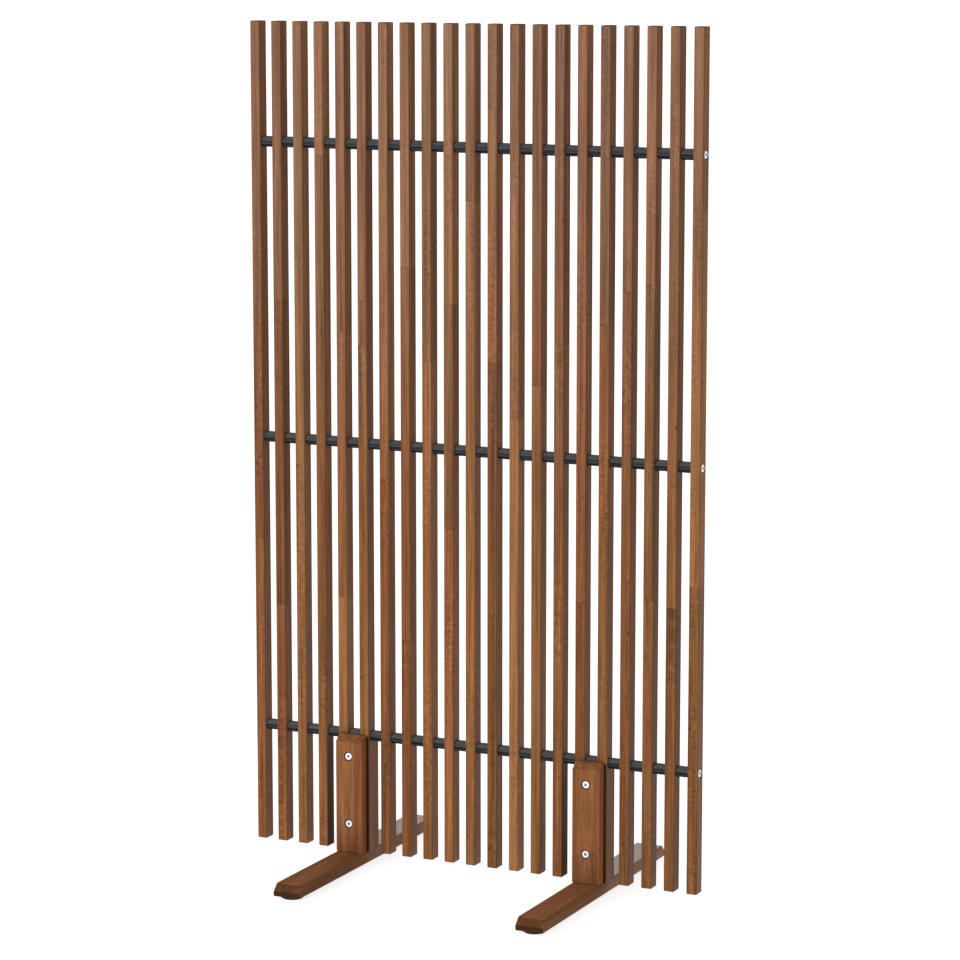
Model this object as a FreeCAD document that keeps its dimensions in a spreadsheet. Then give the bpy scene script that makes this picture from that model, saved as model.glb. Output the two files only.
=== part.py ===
import FreeCAD, Part
import os
import Sketcher

# Garden privacy screen: a row of upright wooden slats, threaded on three tie rods with a black
# plastic spacer tube in every gap, standing on two cross bars. A post behind the slats and a
# clamp plate in front of them stand on each bar and grip the panel between them with two bolts.
# Four screw-in glides under the bars level the screen.
#
# Frame: x to the right along the panel, y to the back, z up. The origin is on the floor below
# the middle of the panel; the slats' mid plane is y = 0.

# Driving sizes, in millimetres unless the name says count or turn.
SIZES = {
    # the slats
    "slat_count": 21,
    "slat_width": 19.0,
    "slat_depth": 25.0,
    "slat_height": 1490.0,
    "slat_gap": 23.4,
    "slat_edge": 1.8,
    # the tie rods, from the slat's end to the nearest rod, and the spacer tubes on them
    "rod_count": 3,
    "rod_inset": 213.5,
    "rod_diameter": 6.0,
    "rod_hole_clearance": 0.5,
    "spacer_diameter": 19.4,
    "spacer_bore_clearance": 0.3,
    "groove_count": 8,
    "groove_width": 1.8,
    "groove_depth": 0.5,
    "spacer_turn_step": 67.0,
    # the sleeve nuts that close each rod, sunk into the outer faces of the end slats
    "nut_head_diameter": 14.4,
    "nut_head_height": 3.0,
    "nut_head_edge": 0.6,
    "nut_head_clearance": 0.9,
    "nut_recess": 0.5,
    "nut_sleeve_diameter": 8.6,
    "nut_sleeve_setback": 3.4,
    "nut_socket_width": 5.0,
    "nut_socket_depth": 3.2,
    "nut_web": 1.0,
    "rod_end_gap": 1.0,
    "thread_clearance": 0.1,
    # the cross bars under the panel
    "slats_outside_bar": 5,
    "bar_width": 52.0,
    "bar_height": 22.0,
    "bar_length": 537.0,
    "bar_bevel": 13.0,
    "bar_edge": 2.8,
    # the posts behind the slats and the clamp plates in front of them
    "post_thickness": 22.0,
    "post_height": 217.0,
    "post_bevel": 13.0,
    "plate_thickness": 22.0,
    "plate_height": 217.0,
    "plate_bevel": 13.0,
    # the clamp bolts and the threaded inserts that they run into
    "bolt_low": 54.0,
    "bolt_high": 178.5,
    "bolt_diameter": 6.0,
    "bolt_hole_clearance": 0.5,
    "bolt_head_diameter": 13.6,
    "bolt_head_height": 3.6,
    "bolt_head_edge": 0.6,
    "bolt_head_clearance": 1.2,
    "bolt_recess": 1.0,
    "bolt_socket_width": 5.0,
    "bolt_socket_depth": 2.6,
    "bolt_overrun": 2.0,
    "bolt_end_gap": 1.0,
    "insert_wall": 2.0,
    "insert_fit": 0.05,
    "post_hole_wall": 6.0,
    "shank_tip": 0.8,
    # the screws and the dowel between a bar and its post
    "screw_spacing": 28.0,
    "screw_diameter": 5.0,
    "screw_depth": 32.0,
    "screw_head_diameter": 10.0,
    "screw_head_height": 3.0,
    "screw_head_edge": 0.5,
    "screw_head_clearance": 0.4,
    "screw_recess": 1.0,
    "screw_socket_width": 4.0,
    "screw_socket_depth": 2.4,
    "dowel_diameter": 8.0,
    "dowel_depth": 14.0,
    "dowel_fit": 0.1,
    "dowel_end_gap": 0.5,
    # the levelling glides
    "pad_diameter": 38.0,
    "pad_height": 4.0,
    "pad_edge": 0.8,
    "pad_floor": 1.5,
    "glide_setback": 4.5,
    "glide_gap": 0.3,
    "stem_diameter": 8.0,
    "stem_end_gap": 2.0,
    "glide_hole_wall": 4.0,
    "glide_insert_gap": 4.0,
}

doc = FreeCAD.newDocument("garden_privacy_screen")
sizes = doc.addObject("Spreadsheet::Sheet", "sizes")
for row, (name, number) in enumerate(SIZES.items(), start=1):
    sizes.set(f"A{row}", name)
    sizes.set(f"B{row}", str(number))
    sizes.setAlias(f"B{row}", name)
doc.recompute()

# Sizes and places that follow from the driving ones, as expressions over the sheet.
PITCH = "(sizes.slat_width + sizes.slat_gap)"
PANEL_HALF = f"(0.5 * (sizes.slat_count - 1) * {PITCH} + 0.5 * sizes.slat_width)"
HALF_DEPTH = "(0.5 * sizes.slat_depth)"
BAR_BOTTOM = "(sizes.pad_height + sizes.glide_gap)"
BAR_TOP = f"({BAR_BOTTOM} + sizes.bar_height)"
BAR_X = f"((0.5 * sizes.slat_count - sizes.slats_outside_bar) * {PITCH})"
ROD_STEP = "((sizes.slat_height - 2 * sizes.rod_inset) / (sizes.rod_count - 1))"
ROD_HOLE = "(sizes.rod_diameter + 2 * sizes.rod_hole_clearance)"
NUT_SEAT = "(sizes.nut_recess + sizes.nut_head_height)"
NUT_SLEEVE = f"(sizes.slat_width - {NUT_SEAT} - sizes.nut_sleeve_setback)"
NUT_BORE = f"({NUT_SLEEVE} + sizes.nut_head_height - sizes.nut_socket_depth - sizes.nut_web)"
ROD_HALF = (f"({PANEL_HALF} - sizes.nut_recess - sizes.nut_socket_depth - sizes.nut_web"
            " - sizes.rod_end_gap)")
BOLT_SEAT = "(sizes.bolt_recess + sizes.bolt_head_height)"
POST_HOLE = "(sizes.post_thickness - sizes.post_hole_wall)"
POST_INSERT = f"({POST_HOLE} - sizes.bolt_overrun - sizes.bolt_end_gap)"
BOLT_LENGTH = (f"(sizes.plate_thickness - {BOLT_SEAT} + sizes.slat_depth + {POST_INSERT}"
               " + sizes.bolt_overrun)")
INSERT_DIAMETER = "(sizes.bolt_diameter + 2 * sizes.insert_wall)"
SCREW_SEAT = "(sizes.screw_recess + sizes.screw_head_height)"
SCREW_LENGTH = f"(sizes.bar_height - {SCREW_SEAT} + sizes.screw_depth)"
GLIDE_HOLE = "(sizes.bar_height - sizes.glide_hole_wall)"
GLIDE_INSERT = f"({GLIDE_HOLE} - sizes.glide_insert_gap)"
GLIDE_INSERT_DIAMETER = "(sizes.stem_diameter + 2 * sizes.insert_wall)"
GLIDE_Y = "(0.5 * sizes.bar_length - sizes.glide_setback - 0.5 * sizes.pad_diameter)"

TOWARDS_FRONT = FreeCAD.Rotation(FreeCAD.Vector(1, 0, 0), -90)
TOWARDS_RIGHT = FreeCAD.Rotation(FreeCAD.Vector(0, 1, 0), 90)
TOWARDS_LEFT = FreeCAD.Rotation(FreeCAD.Vector(0, 1, 0), -90)
SIDES = {"left": -1, "right": 1}
ENDS = {"front": -1, "back": 1}
ROD_NAMES = ("low", "middle", "high")

nodes = []


# ---------------------------------------------------------------- helpers

def as_node(thing, label):
    """Mark an object as one of the screen's sub-parts."""
    thing.Label = label
    nodes.append(thing)
    return thing


def place(thing, x="0", y="0", z="0", rotation=FreeCAD.Rotation()):
    """Put an object at a place that follows the sheet."""
    thing.Placement = FreeCAD.Placement(FreeCAD.Vector(), rotation)
    for axis, expression in (("x", x), ("y", y), ("z", z)):
        if expression != "0":
            thing.setExpression(f"Placement.Base.{axis}", expression)


def new_sketch(body, plane, name, offset="0"):
    """A sketch on one of the body's own origin planes, moved along its normal by the offset."""
    sketch = body.newObject("Sketcher::SketchObject", f"{body.Name}_{name}")
    origin_plane = next(item for item in body.Origin.OriginFeatures if item.Role == plane)
    sketch.AttachmentSupport = [(origin_plane, "")]
    sketch.MapMode = "FlatFace"
    if offset != "0":
        sketch.setExpression("AttachmentOffset.Base.z", offset)
    return sketch


def pin_point(sketch, geometry, point, name, x, y):
    """Hold one point of a sketch at coordinates that follow the sheet."""
    horizontal_axis, vertical_axis, root_point = -1, -2, (-1, 1)
    if x == "0":
        sketch.addConstraint(Sketcher.Constraint("PointOnObject", geometry, point, vertical_axis))
    else:
        distance = sketch.evalExpression(x)
        index = sketch.addConstraint(
            Sketcher.Constraint("DistanceX", *root_point, geometry, point, distance))
        sketch.renameConstraint(index, f"{name}_x")
        sketch.setExpression(f"Constraints.{name}_x", x)
    if y == "0":
        sketch.addConstraint(Sketcher.Constraint("PointOnObject", geometry, point, horizontal_axis))
    else:
        distance = sketch.evalExpression(y)
        index = sketch.addConstraint(
            Sketcher.Constraint("DistanceY", *root_point, geometry, point, distance))
        sketch.renameConstraint(index, f"{name}_y")
        sketch.setExpression(f"Constraints.{name}_y", y)


def outline(sketch, points):
    """A closed outline of straight lines, each corner given as a pair of expressions."""
    corners = [FreeCAD.Vector(sketch.evalExpression(x), sketch.evalExpression(y), 0)
               for x, y in points]
    count = len(points)
    for index in range(count):
        sketch.addGeometry(Part.LineSegment(corners[index], corners[(index + 1) % count]))
    for index in range(count):
        sketch.addConstraint(Sketcher.Constraint("Coincident", index, 2, (index + 1) % count, 1))
    for index, (x, y) in enumerate(points):
        pin_point(sketch, index, 1, f"corner_{index}", x, y)


def circle(sketch, name, diameter, x="0", y="0"):
    """A circle whose diameter and centre follow the sheet."""
    centre = FreeCAD.Vector(sketch.evalExpression(x), sketch.evalExpression(y), 0)
    start = sketch.evalExpression(diameter)
    geometry = sketch.addGeometry(Part.Circle(centre, FreeCAD.Vector(0, 0, 1), 0.5 * start))
    index = sketch.addConstraint(Sketcher.Constraint("Diameter", geometry, start))
    sketch.renameConstraint(index, f"{name}_diameter")
    sketch.setExpression(f"Constraints.{name}_diameter", diameter)
    pin_point(sketch, geometry, 3, name, x, y)


def hexagon(sketch, width):
    """A hexagon about the sketch's origin, its width across flats bound to an expression."""
    corner = f"({width} / cos(30 deg) / 2)"
    half_side = f"({corner} / 2)"
    half_width = f"({width} / 2)"
    outline(sketch, [(corner, "0"), (half_side, half_width), (f"-{half_side}", half_width),
                     (f"-{corner}", "0"), (f"-{half_side}", f"-{half_width}"),
                     (half_side, f"-{half_width}")])


def pad(body, sketch, length, side_type="One side", reverse=False):
    """Raise a sketch to a solid."""
    feature = body.newObject("PartDesign::Pad", f"{sketch.Name}_pad")
    feature.Profile = sketch
    feature.SideType = side_type
    feature.Reversed = reverse
    feature.setExpression("Length", length)
    body.Tip = feature
    return feature


def pocket(body, sketch, depth=None, side_type="One side", reverse=False):
    """Cut a sketch into the body, to a depth or right through."""
    feature = body.newObject("PartDesign::Pocket", f"{sketch.Name}_pocket")
    feature.Profile = sketch
    feature.SideType = side_type
    feature.Reversed = reverse
    if depth is None:
        feature.Type = "ThroughAll"
    else:
        feature.setExpression("Length", depth)
    body.Tip = feature
    return feature


def revolve(body, sketch):
    """Turn a half outline about the sketch's upright axis."""
    feature = body.newObject("PartDesign::Revolution", f"{sketch.Name}_turned")
    feature.Profile = sketch
    feature.ReferenceAxis = (sketch, ["V_Axis"])
    feature.Angle = 360
    body.Tip = feature
    return feature


def round_edges(body, feature, radius):
    """Ease every edge of the piece, as a planed and sanded board has them."""
    doc.recompute()
    rounding = body.newObject("PartDesign::Fillet", f"{body.Name}_eased")
    rounding.Base = (feature, ["Edge1"])
    rounding.UseAllEdges = True
    rounding.setExpression("Radius", radius)
    body.Tip = rounding


def group(label, blank, places):
    """A node of identical pieces: one copy of the blank at each place."""
    copies = []
    for index, (x, y, z, rotation) in enumerate(places, start=1):
        copy = doc.addObject("App::Link", f"{label}_{index:02d}")
        copy.LinkedObject = blank
        place(copy, x, y, z, rotation)
        copies.append(copy)
    compound = doc.addObject("Part::Compound", label)
    compound.Links = copies
    return as_node(compound, label)


# ---------------------------------------------------------------- the panel

def rod_height(index):
    """Height of a tie rod above the slats' lower ends, counted from the lowest rod."""
    return f"(sizes.rod_inset + {index} * {ROD_STEP})"


def slat_x(number):
    """Place of a slat's middle along the panel, numbered from the left from 1."""
    return f"(({number} - 0.5 * (sizes.slat_count + 1)) * {PITCH})"


def cross_holes(body, name, diameter, offset="0"):
    """A sketch of one round hole on each rod's axis."""
    sketch = new_sketch(body, "YZ_Plane", name, offset)
    for index in range(int(sizes.rod_count)):
        circle(sketch, f"rod_{index}", diameter, "0", rod_height(index))
    return sketch


def make_slat(number):
    """One slat: a planed stick with eased edges and a hole for each rod."""
    label = f"slat_{number:02d}"
    body = doc.addObject("PartDesign::Body", label)
    sketch = new_sketch(body, "XY_Plane", "section")
    half_width, half_depth = "(sizes.slat_width / 2)", "(sizes.slat_depth / 2)"
    outline(sketch, [(f"-{half_width}", f"-{half_depth}"), (half_width, f"-{half_depth}"),
                     (half_width, half_depth), (f"-{half_width}", half_depth)])
    stick = pad(body, sketch, "sizes.slat_height")
    round_edges(body, stick, "sizes.slat_edge")
    pocket(body, cross_holes(body, "rod_holes", ROD_HOLE), side_type="Symmetric")
    if number in (1, int(sizes.slat_count)):
        sink_nuts(body, outward=-1 if number == 1 else 1)
    place(body, slat_x(number), "0", BAR_TOP)
    return as_node(body, label)


def sink_nuts(body, outward):
    """Counterbores for the nut heads in an end slat's outer face, and wider holes for the sleeves."""
    face = f"({outward} * 0.5 * sizes.slat_width)"
    sleeve_hole = "(sizes.nut_sleeve_diameter + 2 * sizes.rod_hole_clearance)"
    sleeves = cross_holes(body, "sleeve_holes", sleeve_hole, face)
    pocket(body, sleeves, "sizes.slat_width", reverse=outward < 0)
    head_hole = "(sizes.nut_head_diameter + 2 * sizes.nut_head_clearance)"
    heads = cross_holes(body, "nut_seats", head_hole, face)
    pocket(body, heads, NUT_SEAT, reverse=outward < 0)


def make_spacer_blank():
    """One spacer: a black plastic tube with shallow grooves along it, lying along x."""
    body = doc.addObject("PartDesign::Body", "spacer_blank")
    section = new_sketch(body, "YZ_Plane", "section")
    circle(section, "outside", "sizes.spacer_diameter")
    circle(section, "bore", "(sizes.rod_diameter + 2 * sizes.spacer_bore_clearance)")
    pad(body, section, "sizes.slat_gap", side_type="Symmetric")
    groove = new_sketch(body, "YZ_Plane", "groove")
    half_width = "(sizes.groove_width / 2)"
    floor = "(sizes.spacer_diameter / 2 - sizes.groove_depth)"
    clear = "(sizes.spacer_diameter / 2 + sizes.groove_depth)"
    outline(groove, [(f"-{half_width}", floor), (half_width, floor),
                     (half_width, clear), (f"-{half_width}", clear)])
    first = pocket(body, groove, side_type="Symmetric")
    doc.recompute()
    grooves = body.newObject("PartDesign::PolarPattern", "spacer_grooves")
    grooves.Originals = [first]
    grooves.Axis = (section, ["N_Axis"])
    grooves.Angle = 360
    grooves.setExpression("Occurrences", "sizes.groove_count")
    body.Tip = grooves
    return body


def make_spacer_row(label, blank, rod, first_turn):
    """The spacers on one rod, each turned a different way, as they slid on."""
    places = []
    for gap in range(1, int(sizes.slat_count)):
        turn = (first_turn + gap) * sizes.spacer_turn_step
        rotation = FreeCAD.Rotation(FreeCAD.Vector(1, 0, 0), turn % 360)
        places.append((slat_x(gap + 0.5), "0", f"({BAR_TOP} + {rod_height(rod)})", rotation))
    group(label, blank, places)


def make_tie_rod(label, rod):
    """One threaded rod through all the slats, ending inside the sleeve nuts."""
    cylinder = doc.addObject("Part::Cylinder", label)
    cylinder.setExpression("Radius", "sizes.rod_diameter / 2")
    cylinder.setExpression("Height", f"2 * {ROD_HALF}")
    place(cylinder, f"-{ROD_HALF}", "0", f"{BAR_TOP} + {rod_height(rod)}", TOWARDS_RIGHT)
    as_node(cylinder, label)


# ---------------------------------------------------------------- fasteners

def make_screw_blank(name, head, shank_diameter, shank_length, shank_tip="sizes.shank_tip"):
    """A headed fastener along z, its head's seat at z = 0 and a hexagon socket in the head.

    head names the prefix of the head's own sizes in the sheet.
    """
    body = doc.addObject("PartDesign::Body", name)
    profile = new_sketch(body, "XZ_Plane", "profile")
    top = f"sizes.{head}_head_height"
    radius = f"(sizes.{head}_head_diameter / 2)"
    edge = f"sizes.{head}_head_edge"
    shank = f"({shank_diameter} / 2)"
    outline(profile, [("0", f"-{top}"), (f"{radius} - {edge}", f"-{top}"),
                      (radius, f"-{top} + {edge}"), (radius, "0"), (shank, "0"),
                      (shank, f"{shank_length} - {shank_tip}"),
                      (f"{shank} - {shank_tip}", shank_length), ("0", shank_length)])
    revolve(body, profile)
    socket = new_sketch(body, "XY_Plane", "socket", f"-{top}")
    hexagon(socket, f"sizes.{head}_socket_width")
    pocket(body, socket, f"sizes.{head}_socket_depth", reverse=True)
    return body


def make_nut_blank():
    """A sleeve nut: a flat head with a hexagon socket, and a sleeve tapped from its far end."""
    body = make_screw_blank("rod_nut_blank", "nut", "sizes.nut_sleeve_diameter", NUT_SLEEVE)
    tapped = new_sketch(body, "XY_Plane", "tapped_end", NUT_SLEEVE)
    circle(tapped, "thread", "(sizes.rod_diameter + 2 * sizes.thread_clearance)")
    pocket(body, tapped, NUT_BORE)
    return body


def make_insert_blank(name, outside, thread, length):
    """A threaded insert: a short steel sleeve along z."""
    body = doc.addObject("PartDesign::Body", name)
    section = new_sketch(body, "XY_Plane", "section")
    circle(section, "outside", outside)
    circle(section, "thread", f"({thread} + 2 * sizes.thread_clearance)")
    pad(body, section, length)
    return body


# ---------------------------------------------------------------- the feet

def make_bar(label, side):
    """One cross bar, bevelled at both ends, with its holes for glides, screws and dowel."""
    body = doc.addObject("PartDesign::Body", label)
    profile = new_sketch(body, "YZ_Plane", "profile")
    end = "(sizes.bar_length / 2)"
    shoulder = f"({end} - sizes.bar_bevel)"
    nose = "(sizes.bar_height - sizes.bar_bevel)"
    outline(profile, [(f"-{end}", "0"), (end, "0"), (end, nose), (shoulder, "sizes.bar_height"),
                      (f"-{shoulder}", "sizes.bar_height"), (f"-{end}", nose)])
    board = pad(body, profile, "sizes.bar_width", side_type="Symmetric")
    round_edges(body, board, "sizes.bar_edge")

    inserts = new_sketch(body, "XY_Plane", "insert_holes")
    for name, sign in ENDS.items():
        circle(inserts, name, f"({GLIDE_INSERT_DIAMETER} + 2 * sizes.insert_fit)",
               "0", f"({sign} * {GLIDE_Y})")
    pocket(body, inserts, GLIDE_HOLE, reverse=True)

    post_y = f"({HALF_DEPTH} + 0.5 * sizes.post_thickness)"
    shanks = new_sketch(body, "XY_Plane", "screw_holes")
    heads = new_sketch(body, "XY_Plane", "screw_seats")
    for name, sign in SIDES.items():
        screw_x = f"({sign} * 0.5 * sizes.screw_spacing)"
        circle(shanks, name, "(sizes.screw_diameter + 2 * sizes.screw_head_clearance)",
               screw_x, post_y)
        circle(heads, name, "(sizes.screw_head_diameter + 2 * sizes.screw_head_clearance)",
               screw_x, post_y)
    pocket(body, shanks, reverse=True)
    pocket(body, heads, SCREW_SEAT, reverse=True)

    dowel = new_sketch(body, "XY_Plane", "dowel_hole", "sizes.bar_height")
    circle(dowel, "dowel", "(sizes.dowel_diameter + 2 * sizes.dowel_fit)", "0", post_y)
    pocket(body, dowel, "sizes.dowel_depth + sizes.dowel_end_gap")
    place(body, f"{side} * {BAR_X}", "0", BAR_BOTTOM)
    as_node(body, label)


def make_upright(label, side, facing, kind):
    """A short board on the bar, flush with its sides, bevelled at its outer top edge.

    facing is 1 for the post behind the slats and -1 for the clamp plate in front of them.
    """
    body = doc.addObject("PartDesign::Body", label)
    thickness, height, bevel = (f"sizes.{kind}_{size}" for size in ("thickness", "height", "bevel"))
    profile = new_sketch(body, "YZ_Plane", "profile")
    outer = f"({facing} * {thickness})"
    shoulder = f"({facing} * ({thickness} - {bevel}))"
    outline(profile, [("0", "0"), (outer, "0"), (outer, f"({height} - {bevel})"),
                      (shoulder, height), ("0", height)])
    board = pad(body, profile, "sizes.bar_width", side_type="Symmetric")
    round_edges(body, board, "sizes.bar_edge")
    place(body, f"{side} * {BAR_X}", f"{facing} * {HALF_DEPTH}", BAR_TOP)
    return as_node(body, label)


def bolt_holes(body, name, diameter, offset="0"):
    """A sketch of the two clamp bolts' holes, on the board's upright middle line."""
    sketch = new_sketch(body, "XZ_Plane", name, offset)
    for level in ("low", "high"):
        circle(sketch, level, diameter, "0", f"sizes.bolt_{level}")
    return sketch


def make_plate(label, side):
    """The clamp plate, with two counterbored holes for the bolts."""
    body = make_upright(label, side, -1, "plate")
    shank_hole = "(sizes.bolt_diameter + 2 * sizes.bolt_hole_clearance)"
    pocket(body, bolt_holes(body, "bolt_holes", shank_hole, "sizes.plate_thickness"))
    head_hole = "(sizes.bolt_head_diameter + 2 * sizes.bolt_head_clearance)"
    pocket(body, bolt_holes(body, "bolt_seats", head_hole, "sizes.plate_thickness"), BOLT_SEAT)


def make_post(label, side):
    """The post, with blind holes for the bolt inserts, and for the screws and dowel below."""
    body = make_upright(label, side, 1, "post")
    insert_hole = f"({INSERT_DIAMETER} + 2 * sizes.insert_fit)"
    pocket(body, bolt_holes(body, "insert_holes", insert_hole), POST_HOLE)
    middle = "(0.5 * sizes.post_thickness)"
    screws = new_sketch(body, "XY_Plane", "screw_holes")
    for name, sign in SIDES.items():
        circle(screws, name, "(sizes.screw_diameter + 2 * sizes.thread_clearance)",
               f"({sign} * 0.5 * sizes.screw_spacing)", middle)
    pocket(body, screws, "sizes.screw_depth + sizes.dowel_end_gap", reverse=True)
    dowel = new_sketch(body, "XY_Plane", "dowel_hole")
    circle(dowel, "dowel", "(sizes.dowel_diameter + 2 * sizes.dowel_fit)", "0", middle)
    pocket(body, dowel, "sizes.dowel_depth + sizes.dowel_end_gap", reverse=True)


def make_dowel(label, side):
    """The wooden dowel that keeps the post from turning on the bar."""
    cylinder = doc.addObject("Part::Cylinder", label)
    cylinder.setExpression("Radius", "sizes.dowel_diameter / 2")
    cylinder.setExpression("Height", "2 * sizes.dowel_depth")
    place(cylinder, f"{side} * {BAR_X}", f"{HALF_DEPTH} + 0.5 * sizes.post_thickness",
          f"{BAR_TOP} - sizes.dowel_depth")
    as_node(cylinder, label)


def make_glide(label, side, end):
    """One levelling glide: a plastic pad moulded around the foot of a threaded stem."""
    x, y = f"{side} * {BAR_X}", f"{end} * {GLIDE_Y}"
    stem_radius = "(sizes.stem_diameter / 2)"
    socket = f"({stem_radius} + sizes.insert_fit)"
    radius = "(sizes.pad_diameter / 2)"
    edge, top, floor = "sizes.pad_edge", "sizes.pad_height", "sizes.pad_floor"

    disc = doc.addObject("PartDesign::Body", f"glide_pad_{label}")
    profile = new_sketch(disc, "XZ_Plane", "profile")
    outline(profile, [("0", "0"), (f"{radius} - {edge}", "0"), (radius, edge),
                      (radius, f"{top} - {edge}"), (f"{radius} - {edge}", top),
                      (socket, top), (socket, floor), ("0", floor)])
    revolve(disc, profile)
    place(disc, x, y)
    as_node(disc, f"glide_pad_{label}")

    stem = doc.addObject("PartDesign::Body", f"glide_stem_{label}")
    profile = new_sketch(stem, "XZ_Plane", "profile")
    tip = f"({BAR_BOTTOM} + {GLIDE_HOLE} - sizes.stem_end_gap)"
    outline(profile, [("0", floor), (stem_radius, floor), (stem_radius, f"{tip} - sizes.shank_tip"),
                      (f"{stem_radius} - sizes.shank_tip", tip), ("0", tip)])
    revolve(stem, profile)
    place(stem, x, y)
    as_node(stem, f"glide_stem_{label}")


# ---------------------------------------------------------------- the whole screen

for number in range(1, int(sizes.slat_count) + 1):
    make_slat(number)

spacer_blank = make_spacer_blank()
nut_blank = make_nut_blank()
bolt_blank = make_screw_blank("clamp_bolt_blank", "bolt", "sizes.bolt_diameter", BOLT_LENGTH)
screw_blank = make_screw_blank("post_screw_blank", "screw", "sizes.screw_diameter", SCREW_LENGTH)
post_insert_blank = make_insert_blank("post_insert_blank", INSERT_DIAMETER,
                                      "sizes.bolt_diameter", POST_INSERT)
glide_insert_blank = make_insert_blank("glide_insert_blank", GLIDE_INSERT_DIAMETER,
                                       "sizes.stem_diameter", GLIDE_INSERT)

rods = [(ROD_NAMES[index] if index < len(ROD_NAMES) else f"row_{index + 1}", index)
        for index in range(int(sizes.rod_count))]
for name, index in rods:
    make_tie_rod(f"tie_rod_{name}", index)
    make_spacer_row(f"spacers_{name}", spacer_blank, index, first_turn=3 * index)

for side_name, side in SIDES.items():
    inward = TOWARDS_RIGHT if side < 0 else TOWARDS_LEFT
    group(f"rod_nuts_{side_name}", nut_blank,
          [(f"{side} * ({PANEL_HALF} - {NUT_SEAT})", "0", f"{BAR_TOP} + {rod_height(index)}", inward)
           for _, index in rods])

    bar_x = f"{side} * {BAR_X}"
    make_bar(f"base_bar_{side_name}", side)
    make_post(f"post_{side_name}", side)
    make_plate(f"clamp_plate_{side_name}", side)
    make_dowel(f"post_dowel_{side_name}", side)

    bolt_seat_y = f"{BOLT_SEAT} - {HALF_DEPTH} - sizes.plate_thickness"
    bolt_levels = [f"{BAR_TOP} + sizes.bolt_{level}" for level in ("low", "high")]
    group(f"clamp_bolts_{side_name}", bolt_blank,
          [(bar_x, bolt_seat_y, z, TOWARDS_FRONT) for z in bolt_levels])
    group(f"post_inserts_{side_name}", post_insert_blank,
          [(bar_x, HALF_DEPTH, z, TOWARDS_FRONT) for z in bolt_levels])

    group(f"post_screws_{side_name}", screw_blank,
          [(f"{bar_x} + {sign} * 0.5 * sizes.screw_spacing",
            f"{HALF_DEPTH} + 0.5 * sizes.post_thickness", f"{BAR_BOTTOM} + {SCREW_SEAT}",
            FreeCAD.Rotation()) for sign in SIDES.values()])
    group(f"glide_inserts_{side_name}", glide_insert_blank,
          [(bar_x, f"{end} * {GLIDE_Y}", BAR_BOTTOM, FreeCAD.Rotation()) for end in ENDS.values()])
    for end_name, end in ENDS.items():
        make_glide(f"{end_name}_{side_name}", side, end)

doc.recompute()

# ---------------------------------------------------------------- checks and export

for item in doc.Objects:
    if "Invalid" in item.State or "Error" in item.State:
        raise RuntimeError(f"{item.Name} failed: {item.State}")
    if item.TypeId == "PartDesign::Pocket" and item.Shape.Volume >= item.BaseFeature.Shape.Volume:
        raise RuntimeError(f"{item.Name} cuts nothing")
for node in nodes:
    if node.Shape.isNull() or not node.Shape.isValid():
        raise RuntimeError(f"{node.Label} has no valid shape")

os.makedirs("parts", exist_ok=True)
for node in nodes:
    node.Shape.exportStep(f"parts/{node.Label}.step")
box = FreeCAD.BoundBox()
for node in nodes:
    box.add(node.Shape.BoundBox)
print(f"{len(nodes)} nodes, {sum(len(node.Shape.Solids) for node in nodes)} solids")
print(f"overall {box.XLength:.1f} x {box.YLength:.1f} x {box.ZLength:.1f} mm, from z = {box.ZMin:.2f}")
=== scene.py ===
# %% [markdown]
# # A garden privacy screen, dressed for its portrait
#
# The construction of this screen is already there: slats, tie rods, spacers, feet and fasteners,
# each a separate piece at its real size. This notebook gives every piece the finish that it has
# on the real object: stained and oiled hardwood, moulded black plastic and zinc-plated steel,
# and paints light and shade onto some of their surfaces.
# All lengths are in metres. x runs along the panel, y to the back, z up.

# %% Load the construction
import math
import random

import bpy
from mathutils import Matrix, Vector


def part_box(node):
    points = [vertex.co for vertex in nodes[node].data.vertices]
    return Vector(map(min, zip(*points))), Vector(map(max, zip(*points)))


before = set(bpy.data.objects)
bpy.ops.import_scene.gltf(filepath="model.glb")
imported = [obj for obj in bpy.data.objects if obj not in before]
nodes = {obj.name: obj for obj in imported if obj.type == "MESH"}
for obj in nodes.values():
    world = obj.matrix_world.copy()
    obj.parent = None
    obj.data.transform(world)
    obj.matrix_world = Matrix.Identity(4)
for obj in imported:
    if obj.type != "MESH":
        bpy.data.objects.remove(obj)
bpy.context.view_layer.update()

# %% [markdown]
# ## The camera
#
# The photograph was taken from the right front with a long lens, from just above the slats' tops.
# Its uprights stay parallel, as they do when the lens is shifted instead of tilted. Only a little
# of that shift is kept here, so that the same camera also frames the screen from other sides.
# The numbers are the place and turn that bring the screen's edges onto the photographed ones.

# %% Camera
FRAME_PIXELS = 960
SENSOR_WIDTH = 36.0
FOCAL_PIXELS = 3340.0
OPTICAL_AXIS_ROW = 430.0
CAMERA_PLACE = (2.5173, -5.2067, 1.6754)
CAMERA_TURN = math.radians(25.685)
CAMERA_DOWN = math.radians(8.519)
VIEW_REACH = 500

camera_data = bpy.data.cameras.new("portrait_camera")
camera_data.sensor_width = SENSOR_WIDTH
camera_data.lens = FOCAL_PIXELS * SENSOR_WIDTH / FRAME_PIXELS
camera_data.shift_y = (OPTICAL_AXIS_ROW - FRAME_PIXELS / 2) / FRAME_PIXELS
camera_data.clip_end = VIEW_REACH
camera = bpy.data.objects.new("portrait_camera", camera_data)
camera.location = CAMERA_PLACE
camera.rotation_euler = (math.pi / 2 - CAMERA_DOWN, 0, CAMERA_TURN)
bpy.context.scene.collection.objects.link(camera)
bpy.context.scene.camera = camera
print(f"camera with a {camera_data.lens:.0f} mm lens, shifted {camera_data.shift_y:.3f}")

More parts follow.
